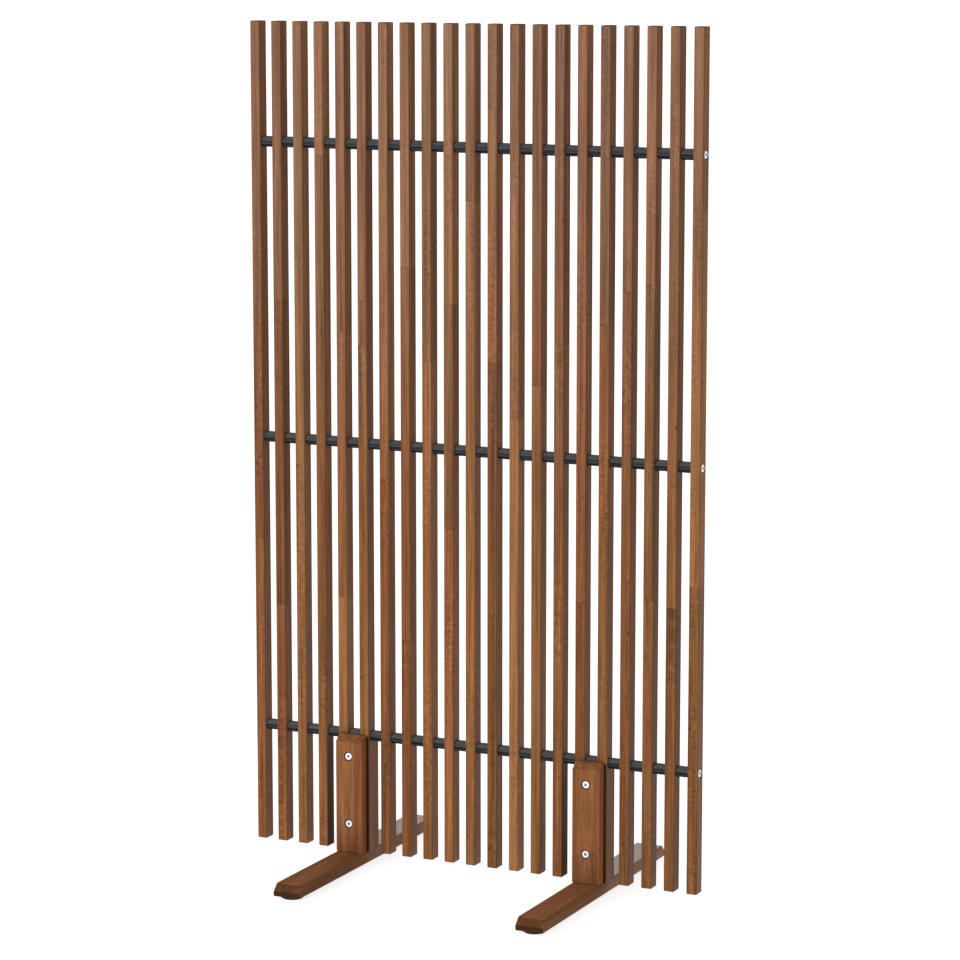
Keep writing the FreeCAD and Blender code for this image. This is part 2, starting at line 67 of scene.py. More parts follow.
# %% [markdown]
# ## Helpers for materials
#
# A procedural material is a small machine of nodes. These helpers keep each recipe short: one
# adds a node with its settings, one does arithmetic on sockets or numbers, one blends colours.

# %% Material helpers
def add(tree, kind, inputs=None, **settings):
    """A new node. Inputs are numbers, colours or sockets of other nodes, by name or position."""
    node = tree.nodes.new(kind)
    for name, value in settings.items():
        setattr(node, name, value)
    for name, value in (inputs or {}).items():
        if isinstance(value, bpy.types.NodeSocket):
            tree.links.new(value, node.inputs[name])
        else:
            node.inputs[name].default_value = value
    return node


def calc(tree, operation, *values, clamp=False):
    """One step of arithmetic."""
    inputs = dict(enumerate(values))
    return add(tree, "ShaderNodeMath", inputs, operation=operation, use_clamp=clamp).outputs[0]


def vector(tree, operation, *values):
    """One step of arithmetic on vectors."""
    inputs = dict(enumerate(values))
    return add(tree, "ShaderNodeVectorMath", inputs, operation=operation).outputs


def smooth(tree, value, low, high, out_low=0.0, out_high=1.0):
    """Ease a value from one range into another."""
    inputs = {"Value": value, "From Min": low, "From Max": high,
              "To Min": out_low, "To Max": out_high}
    return add(tree, "ShaderNodeMapRange", inputs, interpolation_type="SMOOTHSTEP").outputs[0]


def blend(tree, share, colour_a, colour_b, mode="MIX"):
    """Mix two colours."""
    inputs = {0: share, 6: colour_a, 7: colour_b}
    return add(tree, "ShaderNodeMix", inputs, data_type="RGBA", blend_type=mode).outputs[2]


def new_material(name):
    """An empty material with its shader, ready for a recipe."""
    material = bpy.data.materials.new(name)
    material.use_nodes = True
    return material, material.node_tree, material.node_tree.nodes["Principled BSDF"]


def dress(node_name, material):
    """Give a CAD node its finish."""
    slots = nodes[node_name].data.materials
    slots.clear()
    slots.append(material)


def rgb(red, green, blue):
    """A colour from its three channels, as the eye reads them on a screen (0 to 255)."""
    def linear(channel):
        share = channel / 255
        return share / 12.92 if share <= 0.04045 else ((share + 0.055) / 1.055) ** 2.4
    return (linear(red), linear(green), linear(blue), 1.0)


def grey(level):
    """An even grey, given by the share of light it throws back."""
    return (level, level, level, 1.0)


print("material helpers ready")

# %% [markdown]
# ## Where a point lies
#
# Finishes depend on the place: stain soaks into ends, and painted sheen lies high on the slats'
# fronts and low on their sides. Every mask below starts from where a point lies on the screen or
# from the way its surface faces.

# %% Places and directions
def spot(tree):
    """Where a point lies, as one vector."""
    return add(tree, "ShaderNodeTexCoord").outputs["Object"]


def place(tree):
    """Where a point lies, as sockets X, Y and Z."""
    return add(tree, "ShaderNodeSeparateXYZ", {0: spot(tree)}).outputs


def facing(tree):
    """The way the surface faces, as sockets X, Y and Z from -1 to 1."""
    normal = add(tree, "ShaderNodeNewGeometry").outputs["Normal"]
    return add(tree, "ShaderNodeSeparateXYZ", {0: normal}).outputs


def faces_along(tree, axis, start, full):
    """1 where the surface faces along an axis, either way, 0 where it leans too far from it."""
    return smooth(tree, calc(tree, "ABSOLUTE", facing(tree)[axis.upper()]), start, full)


def around(tree, axis, centre, inner, outer):
    """1 within the inner radius of a line along the axis through a point, 0 past the outer one."""
    flat = [0.0 if name == axis else 1.0 for name in "xyz"]
    away = vector(tree, "SUBTRACT", spot(tree), centre)[0]
    length = vector(tree, "LENGTH", vector(tree, "MULTIPLY", away, flat)[0])["Value"]
    return smooth(tree, length, inner, outer, 1.0, 0.0)


print("places and directions ready")

# %% [markdown]
# ## Where the grain runs
#
# Wood looks alike from stick to stick but never the same, because each was cut from another place
# in the tree. The recipe keeps that: one pattern fills all space, squeezed along the grain into
# long streaks, and each board reads it at its own place. The layers run from slow bands of growth
# to single pores. A thick board shows wider bands, since less of the tree was cut away.

# %% Grain
# Features a metre across the grain, features a metre along it, octaves of detail, roughness.
GRAIN_LAYERS = {"bands": (105, 2.2, 2, 0.55), "stripes": (330, 6, 2, 0.55),
                "fine": (900, 22, 4, 0.55), "ripple": (110, 170, 3, 0.55),
                "rippled_places": (9, 5, 1, 0.55), "pores": (900, 170, 2, 0.7),
                "red_patches": (70, 4, 2, 0.55)}
LAYERS_BY_BOARD = ("bands", "stripes", "fine")


def grain_layers(tree, axis, start, width):
    """Soft random streaks along the grain, from 0 to 1, one socket for each layer."""
    space = vector(tree, "ADD", spot(tree), start)[0]
    layers = {}
    for layer, (across, along, detail, roughness) in GRAIN_LAYERS.items():
        if layer in LAYERS_BY_BOARD:
            across = across * width
        scale = [along if name == axis else across for name in "xyz"]
        inputs = {"Vector": vector(tree, "MULTIPLY", space, scale)[0], "Scale": 1.0,
                  "Detail": detail, "Roughness": roughness}
        layers[layer] = add(tree, "ShaderNodeTexNoise", inputs).outputs["Fac"]
    return layers


print(f"{len(GRAIN_LAYERS)} layers of grain ready")

# %% [markdown]
# ## Glue joints
#
# Long slats are made of short lengths of hardwood, glued end to end with machine-cut fingers. On
# the narrow faces the joint is a straight line, on the wide faces a zigzag. Each length keeps its
# own tone, and that patchwork is most of what the eye sees from a few steps away.

# %% Glue joints
FINGER_LENGTH = 0.008
FINGER_PITCH = 0.0045
GLUE_LINE = 0.0006


def height_with_fingers(tree):
    """Height along a slat, shifted to and fro across its wide faces like the cut fingers."""
    parts = place(tree)
    wave = calc(tree, "PINGPONG", parts["Y"], FINGER_PITCH / 2)
    return calc(tree, "MULTIPLY_ADD", wave, 2 * FINGER_LENGTH / FINGER_PITCH, parts["Z"])


def lengths_along(tree, height, joints, values):
    """A number that is values[0] below the first joint, values[1] above it, and so on."""
    total = calc(tree, "ADD", 0.0, values[0])
    for joint, below, above in zip(joints, values, values[1:]):
        past = calc(tree, "GREATER_THAN", height, joint)
        total = calc(tree, "MULTIPLY_ADD", past, above - below, total)
    return total


def joint_lines(tree, height, joints):
    """1 on the fine dark glue lines, 0 elsewhere."""
    total = 0.0
    for joint in joints:
        near = calc(tree, "COMPARE", height, joint, GLUE_LINE)
        total = calc(tree, "MAXIMUM", total, near)
    return total


print("glue joints ready")

# %% [markdown]
# ## Three kinds of board
#
# Slats, bars and uprights come from boards that took the stain in their own way. The slats have
# painted shade on their eased edges and the strongest grain. The bars are planed smooth and shine
# the most. The posts and plates are calmer, and their ends, being sanded, drank less stain. The
# edges of the posts and plates and the bars' upper edges carry a painted highlight, the bars'
# lower edges painted shade.

# %% Boards
WARM_TONES = (rgb(80, 43, 23), rgb(117, 71, 40), rgb(148, 96, 59))
OLIVE_TONES = (rgb(73, 46, 25), rgb(108, 72, 40), rgb(138, 97, 59))
PORE = rgb(54, 30, 17)
END_WOOD = rgb(45, 25, 13)
# Painted shade for the slats' eased edges, painted highlight for the other boards' edges.
PAINTED_EDGE_SHADE = rgb(70, 42, 25)
PAINTED_EDGE_HIGHLIGHT = rgb(160, 106, 66)
SLAT_BOARD = {"width": 1.0, "contrast": 0.75, "edge": PAINTED_EDGE_SHADE, "edge_share": 0.45,
              "end_share": 0.85, "end_from": 0.6, "gloss": 0.05, "roughness": 0.44}
BAR_BOARD = {"width": 0.7, "contrast": 0.55, "edge": PAINTED_EDGE_HIGHLIGHT, "edge_share": 0.35,
             "end_share": 0.92, "end_from": 0.55, "gloss": 0.1, "roughness": 0.26}
FOOT_BOARD = {"width": 0.6, "contrast": 0.7, "edge": PAINTED_EDGE_HIGHLIGHT, "edge_share": 0.4,
              "end_share": 0.35, "end_from": 0.6, "gloss": 0.07, "roughness": 0.44}
print("three kinds of board")

# %% [markdown]
# ## The colour of the bare face
#
# The stain is warm brown, redder in some patches and more olive in others. Each layer of grain
# moves the tone up or down, a rippled figure crosses the grain here and there, and the pores, where
# the stain stays longest, end up darkest.

# %% Face colour
TONE_DEPTHS = {"bands": 1.5, "stripes": 1.3, "fine": 1.2}
RED_DEPTH = 1.6
PORE_SHARE = 0.7


def tone_ramp(tree, tone, colours):
    """From the darkest of three colours to the lightest."""
    ramp = add(tree, "ShaderNodeValToRGB", {0: tone})
    stops = ramp.color_ramp.elements
    stops[0].color, stops[1].color = colours[0], colours[2]
    stops.new(0.5).color = colours[1]
    return ramp.outputs[0]


def face_colour(tree, layers, contrast, tone, red):
    """The stained face, from its tone and redness, both 0 to 1, and the layers of grain."""
    for layer, depth in TONE_DEPTHS.items():
        change = calc(tree, "SUBTRACT", layers[layer], 0.5)
        tone = calc(tree, "MULTIPLY_ADD", change, depth * contrast, tone)
    where = smooth(tree, layers["rippled_places"], 0.47, 0.62, 0.15, 1.1)
    figure = calc(tree, "MULTIPLY", calc(tree, "SUBTRACT", layers["ripple"], 0.5), where)
    tone = calc(tree, "ADD", tone, figure, clamp=True)
    patches = calc(tree, "SUBTRACT", layers["red_patches"], 0.5)
    red = calc(tree, "MULTIPLY_ADD", patches, RED_DEPTH, red)
    red = calc(tree, "ADD", red, 0.0, clamp=True)
    colour = blend(tree, red, tone_ramp(tree, tone, OLIVE_TONES), tone_ramp(tree, tone, WARM_TONES))
    return blend(tree, smooth(tree, layers["pores"], 0.57, 0.7, 0.0, PORE_SHARE), colour, PORE)


print("face colour ready")

# %% [markdown]
# ## Edges and ends
#
# A board is planed and its edges are eased with sandpaper. A slat's eased edges get painted
# shade, a bar's lower edges a deeper painted shade, and the other edges of the bars, posts and
# plates a painted highlight. Stain soaks deep into end grain, which drinks it like a bundle of
# straws. The masks come from the board's own box and from the way a surface faces, so they stay
# sharp without a texture image.

# %% Edges and ends
EDGE_REACH = 0.0022
EDGE_FADE = 0.004
# Painted shade on a bar's lower edges.
PAINTED_LOW_EDGE_SHADE = rgb(40, 25, 16)
END_SOFTNESS = 0.25


def edge_nearness(tree, box):
    """1 on the board's edges, falling to 0 at a distance of EDGE_REACH from them."""
    low, high = box
    parts = place(tree)
    nearness = []
    for index, name in enumerate("XYZ"):
        middle = (low[index] + high[index]) / 2
        half = (high[index] - low[index]) / 2
        away = calc(tree, "ABSOLUTE", calc(tree, "SUBTRACT", parts[name], middle))
        nearness.append(smooth(tree, away, half - EDGE_REACH, half - 0.3 * EDGE_REACH))
    first, second, third = nearness
    larger = calc(tree, "MAXIMUM", first, second)
    smaller = calc(tree, "MINIMUM", first, second)
    return calc(tree, "MAXIMUM", smaller, calc(tree, "MINIMUM", larger, third))


def edge_painted_light_and_shade(tree, colour, box, board, stripes):
    """Paint shade on a slat's edges and a highlight on other boards' edges, deeper shade on a bar's
    lower edges, more in some stripes of the grain than in others.
    """
    share = board["edge_share"]
    eased = calc(tree, "MULTIPLY", edge_nearness(tree, box),
                 smooth(tree, stripes, 0.35, 0.65, 0.5 * share, 1.3 * share))
    edge = board["edge"]
    # A bar's lower edges get a deeper painted shade, its upper edges the painted highlight.
    if board is BAR_BOARD:
        height = place(tree)["Z"]
        middle = (box[0].z + box[1].z) / 2
        edge = blend(tree, smooth(tree, height, middle, middle + EDGE_FADE), PAINTED_LOW_EDGE_SHADE, edge)
        strength = smooth(tree, height, middle, middle + EDGE_FADE, 1.8, 0.8)
        eased = calc(tree, "MULTIPLY", eased, strength, clamp=True)
    return blend(tree, eased, colour, edge)


print("edges and ends ready")

# %% [markdown]
# ## Painted sheen and shade
#
# The slats get a painted grey sheen on their upper fronts and backs and a paler painted sheen on
# their lower sides, and the uprights get painted shade towards the bar. Painted shade darkens the
# narrow corners between the slats' fronts and the sides of the clamp plates, the side of a slat
# that faces a plate, and the seats of nuts and bolts. A painted tint lightens the plates' sides
# and darkens the bars' sides.

# %% Painted sheen and shade
# Painted sheen: grey on the slats' upper fronts and backs, pale on their lower sides.
PAINTED_SHEEN_GREY = rgb(122, 107, 104)
UPPER_SHEEN_SHARE = 0.2
PAINTED_SHEEN_PALE = rgb(150, 132, 120)
LOWER_SHEEN_SHARE = 0.16
# The colour of painted shade: in corners beside the plates, on slat sides that face a plate, in seats.
PAINTED_SHADE_BROWN = rgb(24, 14, 9)
CORNER_REACH = 0.008
# How far below the plate's top the painted shade on a slat's side fades out.
SIDE_SHADE_FADE = 0.05
# Painted shade at an upright's foot: how high it reaches and how dark it gets.
FOOT_SHADE_HEIGHT = 0.07
FOOT_SHADE_TONE = 0.74


def painted_sheen(tree, colour, uneven):
    """Paint a grey sheen on the upper fronts and backs, and a paler sheen on the lower sides."""
    height = place(tree)["Z"]
    upper_sheen = calc(tree, "MULTIPLY", faces_along(tree, "y", 0.5, 0.9),
               smooth(tree, height, 0.5, 1.6, 0.0, UPPER_SHEEN_SHARE))
    upper_sheen = calc(tree, "MULTIPLY", upper_sheen, smooth(tree, uneven, 0.3, 0.7, 0.7, 1.3))
    paling = calc(tree, "MULTIPLY", faces_along(tree, "x", 0.5, 0.9),
                smooth(tree, height, 0.05, 1.1, LOWER_SHEEN_SHARE, 0.0))
    return blend(tree, paling, blend(tree, upper_sheen, colour, PAINTED_SHEEN_GREY), PAINTED_SHEEN_PALE)


def corner_painted_shade(tree, colour, plate_box):
    """Paint shade on a slat's front in the narrow corner beside the clamp plate with this box."""
    low, high = plate_box
    parts = place(tree)
    half = (high.x - low.x) / 2
    away = calc(tree, "ABSOLUTE", calc(tree, "SUBTRACT", parts["X"], low.x + half))
    beside = smooth(tree, away, half, half + CORNER_REACH, 0.9, 0.0)
    below = smooth(tree, parts["Z"], high.z - 0.006, high.z - 0.002, 1.0, 0.0)
    front = smooth(tree, facing(tree)["Y"], -0.9, -0.6, 1.0, 0.0)
    corner_shade = calc(tree, "MULTIPLY", front, calc(tree, "MULTIPLY", beside, below))
    return blend(tree, corner_shade, colour, PAINTED_SHADE_BROWN)


def side_painted_shade(tree, colour, plate_box):
    """Paint shade on a slat's right side, up to the top of the plate that it faces."""
    top = plate_box[1].z
    side_shade = calc(tree, "MULTIPLY", smooth(tree, facing(tree)["X"], 0.6, 0.9),
                smooth(tree, place(tree)["Z"], top - SIDE_SHADE_FADE, top, 0.45, 0.0))
    return blend(tree, side_shade, colour, PAINTED_SHADE_BROWN)


def flank_painted_light_and_shade(tree, colour, tint):
    """Tint a board's two sides: painted light on a plate, painted shade on a bar."""
    tint = add(tree, "ShaderNodeCombineXYZ", dict(zip("XYZ", tint))).outputs[0]
    return blend(tree, faces_along(tree, "x", 0.6, 0.9), colour, tint, mode="MULTIPLY")


def seat_painted_shade(tree, colour, seat):
    """Paint shade in the round seat of a nut or bolt, given by its axis, a point on it and its radius.
    """
    axis, centre, radius = seat
    return blend(tree, around(tree, axis, centre, radius, radius + 0.0003), colour, PAINTED_SHADE_BROWN)


print("weather ready")

# %% [markdown]
# ## The stained hardwood
#
# One recipe makes all the wood: the face, then the painted sheen, knots, edges with their painted
# shade and highlights, glue lines and ends, then the depth of the stain with painted shade at an
# upright's foot, and last the painted shade and tints of this board alone. The oil over it leaves
# a satin shine that is uneven where the wood drank more of it.

# %% Wood recipe
KNOT = rgb(48, 26, 15)
KNOT_SHARE = 0.75
KNOT_SHARPNESS = (500, 160, 260)
GLUE_SHARE = 0.45
SHINE_SPREAD = 0.14
DULL_ENDS = 0.35
DULL_FRONTS = 0.4
GRAIN_RELIEF = 0.0004


def knot_mask(tree, knots):
    """1 in small knots, each given by its centre: an egg drawn out along the slat."""
    total = 0.0
    for centre in knots:
        away = vector(tree, "SUBTRACT", spot(tree), centre)[0]
        egg = vector(tree, "MULTIPLY", away, KNOT_SHARPNESS)[0]
        size = vector(tree, "LENGTH", egg)["Value"]
        total = calc(tree, "MAXIMUM", total, smooth(tree, size, 1.1, 0.5))
    return total


def stained(tree, colour, stain, foot):
    """Deepen the stain, and paint shade at an upright's foot, which stands at this height."""
    if foot is None:
        depth = calc(tree, "ADD", stain, 0.0)
    else:
        depth = smooth(tree, place(tree)["Z"], foot, foot + FOOT_SHADE_HEIGHT,
                       FOOT_SHADE_TONE * stain, stain)
    depth = add(tree, "ShaderNodeCombineXYZ", dict.fromkeys("XYZ", depth)).outputs[0]
    return blend(tree, 1.0, colour, depth, mode="MULTIPLY")


def oil_shine(tree, shader, board, layers, ends):
    """Satin oil: uneven along the grain, dull on ends and on the scuffed fronts of the bars."""
    rough = smooth(tree, layers["fine"], 0.3, 0.7, board["roughness"],
                   board["roughness"] + SHINE_SPREAD)
    rough = calc(tree, "MULTIPLY_ADD", ends, DULL_ENDS, rough)
    if board is BAR_BOARD:
        scuffed = smooth(tree, place(tree)["Y"], -0.03, 0.03, DULL_FRONTS, 0.0)
        rough = calc(tree, "ADD", rough, scuffed)
    tree.links.new(rough, shader.inputs["Roughness"])
    shader.inputs["Specular IOR Level"].default_value = board["gloss"]
    relief = calc(tree, "SUBTRACT", layers["fine"], smooth(tree, layers["pores"], 0.6, 0.72))
    bump = add(tree, "ShaderNodeBump", {"Height": relief, "Strength": 0.3,
                                        "Distance": GRAIN_RELIEF})
    tree.links.new(bump.outputs[0], shader.inputs["Normal"])


def wood_material(name, axis, box, seed, board, lengths, joints=(), stain=1.0, foot=None,
                  knots=(), marks=()):
    """Stained and oiled hardwood, its grain along the axis.

    Each glued length has a tone and a redness. A mark, such as painted shade or a painted tint, is a
    function and what it needs to know.
    """
    material, tree, shader = new_material(name)
    shift = [((seed * step) % 97) / 9.7 for step in (31, 57, 83)]
    height = height_with_fingers(tree)
    tones, reds = zip(*lengths)
    tone = lengths_along(tree, height, joints, tones)
    red = lengths_along(tree, height, joints, reds)
    jump = lengths_along(tree, height, joints, [3.7 * index for index in range(len(lengths))])
    offset = add(tree, "ShaderNodeCombineXYZ", {"X": jump, "Y": jump}).outputs[0]
    start = vector(tree, "ADD", offset, shift)[0]
    layers = grain_layers(tree, axis, start, board["width"])

    colour = face_colour(tree, layers, board["contrast"], tone, red)
    if board is SLAT_BOARD:
        colour = painted_sheen(tree, colour, layers["stripes"])
    if knots:
        share = calc(tree, "MULTIPLY", knot_mask(tree, knots), KNOT_SHARE)
        colour = blend(tree, share, colour, KNOT)
    colour = edge_painted_light_and_shade(tree, colour, box, board, layers["stripes"])
    glue = calc(tree, "MULTIPLY", joint_lines(tree, height, joints), GLUE_SHARE)
    colour = blend(tree, glue, colour, PORE)
    ends = faces_along(tree, axis, board["end_from"], board["end_from"] + END_SOFTNESS)
    colour = blend(tree, calc(tree, "MULTIPLY", ends, board["end_share"]), colour, END_WOOD)
    colour = stained(tree, colour, stain, foot)
    for mark, detail in marks:
        colour = mark(tree, colour, detail)
    tree.links.new(colour, shader.inputs["Base Color"])
    oil_shine(tree, shader, board, layers, ends)
    return material


print("wood recipe ready")

# %% [markdown]
# ## The slats
#
# Twenty-one slats stand side by side. The joints that the photograph shows are listed, each
# with its height above the floor, and so are the tone and the redness of the lengths that stand
# out, as judged from the bottom up. The others fall where chance puts them, as in the
# workshop. The two outer slats have round seats for the nuts that close the tie rods.

# %% Slats
SEEN_JOINTS = {1: (0.59,), 2: (0.47, 1.025), 4: (1.285,), 5: (0.495, 0.975), 6: (0.95, 1.03),
               7: (0.715,), 9: (0.93,), 11: (1.215,), 12: (0.487, 0.935, 1.375), 13: (0.84,),
               14: (0.9,), 15: (0.975,), 16: (0.525,), 17: (0.685, 1.01), 18: (0.57, 1.07),
               19: (0.54, 1.085), 20: (0.53,), 21: (0.57, 1.215)}
SEEN_LENGTHS = {2: ((0.45, 0.9), (0.2, 0.7), (0.45, 0.4)), 3: ((0.62, 0.1),),
                5: ((0.7, 0.3), (0.5, 0.7), (0.45, 0.4)), 9: ((0.62, 0.5), (0.42, 0.3)),
                11: ((0.58, 0.4), (0.4, 0.2)), 13: ((0.8, 0.3), (0.48, 0.6)),
                12: ((0.38, 0.2), (0.36, 0.5), (0.56, 0.8), (0.42, 0.2)),
                15: ((0.5, 0.5), (0.34, 0.6)), 17: ((0.5, 0.3), (0.52, 0.7), (0.38, 0.3)),
                19: ((0.5, 0.3), (0.36, 0.1), (0.5, 0.6)), 21: ((0.42, 0.3), (0.62, 0.3), (0.48, 0.4))}
KNOT_HEIGHTS = {15: 1.183, 18: 0.475, 20: 0.84}
KNOT_FROM_EDGE = 0.003
KNOTTY_EVERY = 3
NUT_SEAT_RADIUS = 0.0081
SLAT_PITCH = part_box("slat_02")[0].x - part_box("slat_01")[0].x


def middle_of(name):
    """The middle of a node's box."""
    low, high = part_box(name)
    return (low + high) / 2


def slat_marks(box, is_outer):
    """What this slat alone gets: painted shade in the corners beside the clamp plates, on the side
    that faces a plate, and in the seats of nuts.
    """
    marks = []
    for plate_box in plate_boxes:
        if any(box[0].x < side.x < box[1].x for side in plate_box):
            marks.append((corner_painted_shade, plate_box))
        if box[1].x < plate_box[0].x < box[1].x + SLAT_PITCH:
            marks.append((side_painted_shade, plate_box))
    if is_outer:
        marks += [(seat_painted_shade, ("x", line, NUT_SEAT_RADIUS)) for line in rod_lines]
    return marks


rod_lines = [middle_of(f"spacers_{level}") for level in ("low", "middle", "high")]
plate_boxes = [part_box(f"clamp_plate_{side}") for side in ("left", "right")]
chance = random.Random(21)
slat_names = sorted(name for name in nodes if name.startswith("slat_"))
for number, name in enumerate(slat_names, start=1):
    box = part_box(name)
    joints = SEEN_JOINTS.get(number, (chance.uniform(0.3, 0.7), chance.uniform(0.9, 1.3)))
    if number in SEEN_LENGTHS:
        lengths = SEEN_LENGTHS[number]
        joints = joints[:len(lengths) - 1]
    else:
        lengths = [(chance.uniform(0.36, 0.6), chance.uniform(0.2, 0.9))
                   for _ in range(len(joints) + 1)]
    knots = [(chance.uniform(box[0].x, box[1].x), chance.choice((box[0].y, box[1].y)),
              chance.uniform(0.2, 1.4))]
    if number in KNOT_HEIGHTS:
        knots = [(box[1].x - KNOT_FROM_EDGE, box[0].y, KNOT_HEIGHTS[number])]
    elif number % KNOTTY_EVERY:
        knots = []
    marks = slat_marks(box, number in (1, len(slat_names)))
    dress(name, wood_material(f"stained_slat_{number:02d}", "z", box, number, SLAT_BOARD, lengths,
                              joints, knots=knots, marks=marks))
print(f"{len(slat_names)} slats dressed")

# %% [markdown]
# ## The feet
#
# Bars, posts and plates are cut from one wider, darker board stock, each in one piece. The bars'
# grain runs front to back, the uprights' grain runs up. Shoes scuff the bars' fronts dull, while
# their backs keep the oil's shine. The plates' narrow sides are painted lighter and redder, as
# painted light, and the bars' sides darker, as painted shade.

# %% Feet
# For each kind of piece: the depth of its stain, and the tones of the left one and the right one.
FOOT_FINISH = {"base_bar": (1.02, (0.45, 0.55)), "clamp_plate": (1.02, (0.49, 0.48)),
               "post": (1.12, (0.52, 0.48))}
FOOT_REDNESS = 0.7
# Painted light on the plates' sides, painted shade on the bars' sides, as factors on red, green and
# blue.
FLANK_PAINTED_LIGHT_AND_SHADE = {"base_bar": (0.76, 0.78, 0.84), "clamp_plate": (1.3, 1.1, 0.9)}
BOLT_HEAD_RADIUS = 0.0068
BOLT_SEAT_RADIUS = 0.008

bolt_lines = {}
for side in ("left", "right"):
    low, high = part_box(f"clamp_bolts_{side}")
    bolt_lines[side] = [Vector(((low.x + high.x) / 2, 0.0, height))
                        for height in (low.z + BOLT_HEAD_RADIUS, high.z - BOLT_HEAD_RADIUS)]


def foot_marks(kind, side):
    """What sets this piece of a foot apart: the painted tint of its sides and the painted shade in the
    seats of its bolts.
    """
    marks = []
    if kind in FLANK_PAINTED_LIGHT_AND_SHADE:
        marks.append((flank_painted_light_and_shade, FLANK_PAINTED_LIGHT_AND_SHADE[kind]))
    if kind == "clamp_plate":
        marks += [(seat_painted_shade, ("y", line, BOLT_SEAT_RADIUS)) for line in bolt_lines[side]]
    return marks


for order, (kind, (stain, tones)) in enumerate(FOOT_FINISH.items()):
    for side, tone in zip(("left", "right"), tones):
        name = f"{kind}_{side}"
        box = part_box(name)
        is_bar = kind == "base_bar"
        seed = 40 + 3 * order + len(side)
        dress(name, wood_material(f"stained_{name}", "y" if is_bar else "z", box, seed,
                                  BAR_BOARD if is_bar else FOOT_BOARD, [(tone, FOOT_REDNESS)],
                                  stain=stain, foot=None if is_bar else box[0].z,
                                  marks=foot_marks(kind, side)))
print("feet dressed")

# %% [markdown]
# ## Black plastic
#
# The spacers and the glides' pads are moulded. The mould leaves a faint pebbled skin, and
# handling leaves dull scuffs, so the shine is broken up rather than even. The spacers' upper side
# is painted paler, as painted light, while the underside stays black, and the floors of their
# grooves carry painted highlights.

# %% Black plastic
SPACER_BLACK = rgb(16, 17, 19)
PAD_BLACK = rgb(20, 20, 21)
# Painted highlights along the floors of the spacers' grooves.
GROOVE_PAINTED_HIGHLIGHT = rgb(84, 87, 90)
GROOVE_HIGHLIGHT_SHARE = 0.45
GROOVE_RADII = (0.0093, 0.0096)
# Painted light on the spacers' upper side.
SPACER_TOP_PAINTED_LIGHT = rgb(76, 75, 77)
TOP_LIGHT_SHARE = 0.8


def plastic_material(name, colour, roughness, gloss, groove_line=None):
    """Moulded matt plastic. A spacer gets a painted lighter top and painted highlights on the floors
    of its grooves.
    """
    material, tree, shader = new_material(name)
    skin = add(tree, "ShaderNodeTexNoise", {"Vector": spot(tree), "Scale": 1800.0, "Detail": 2.0})
    cloud = add(tree, "ShaderNodeTexNoise", {"Vector": spot(tree), "Scale": 55.0, "Detail": 4.0})
    dusty = tuple(min(1.0, channel * 2.2 + 0.006) for channel in colour[:3]) + (1.0,)
    paling = smooth(tree, cloud.outputs["Fac"], 0.5, 0.75, 0.0, 0.6)
    shade = blend(tree, paling, colour, dusty)
    if groove_line is not None:
        top_light = smooth(tree, facing(tree)["Z"], 0.0, 0.9, 0.0, TOP_LIGHT_SHARE)
        shade = blend(tree, top_light, shade, SPACER_TOP_PAINTED_LIGHT)
        groove_highlight = calc(tree, "MULTIPLY", around(tree, "x", groove_line, *GROOVE_RADII), GROOVE_HIGHLIGHT_SHARE)
        shade = blend(tree, groove_highlight, shade, GROOVE_PAINTED_HIGHLIGHT)
    tree.links.new(shade, shader.inputs["Base Color"])
    rough = smooth(tree, cloud.outputs["Fac"], 0.3, 0.7, roughness - 0.06, roughness + 0.1)
    tree.links.new(rough, shader.inputs["Roughness"])
    shader.inputs["Specular IOR Level"].default_value = gloss
    bump = add(tree, "ShaderNodeBump", {"Height": skin.outputs["Fac"], "Strength": 0.15,
                                        "Distance": 0.0002})
    tree.links.new(bump.outputs[0], shader.inputs["Normal"])
    return material


for level, line in zip(("low", "middle", "high"), rod_lines):
    dress(f"spacers_{level}",
          plastic_material(f"moulded_spacers_{level}", SPACER_BLACK, 0.5, 0.14, line))
pad_plastic = plastic_material("moulded_glide_pad", PAD_BLACK, 0.55, 0.2)
for name in nodes:
    if name.startswith("glide_pad_"):
        dress(name, pad_plastic)
print("plastic dressed")

# %% [markdown]
# ## Zinc-plated steel
#
# Bolts, nuts, rods and inserts are plated: a pale, slightly blue metal with a cloudy, satin
# surface and fine scratches. Painted shade darkens the metal inside the hexagon sockets, and the
# glides' stems carry a thread with painted shade in its roots.

# %% Steel
ZINC_DULL = rgb(205, 210, 216)
ZINC_BRIGHT = rgb(238, 238, 236)
# Painted shade inside the hexagon sockets.
SOCKET_PAINTED_SHADE = rgb(150, 158, 172)
SOCKET_RADIUS = 0.003
# Painted shade in a thread's roots.
THREAD_ROOT_PAINTED_SHADE = rgb(104, 106, 110)
THREAD_PITCH = 0.00125


def thread_height(tree):
    """1 on the crests of a screw thread along z, 0 in its roots."""
    wave = calc(tree, "PINGPONG", place(tree)["Z"], THREAD_PITCH / 2)
    return calc(tree, "DIVIDE", wave, THREAD_PITCH / 2)


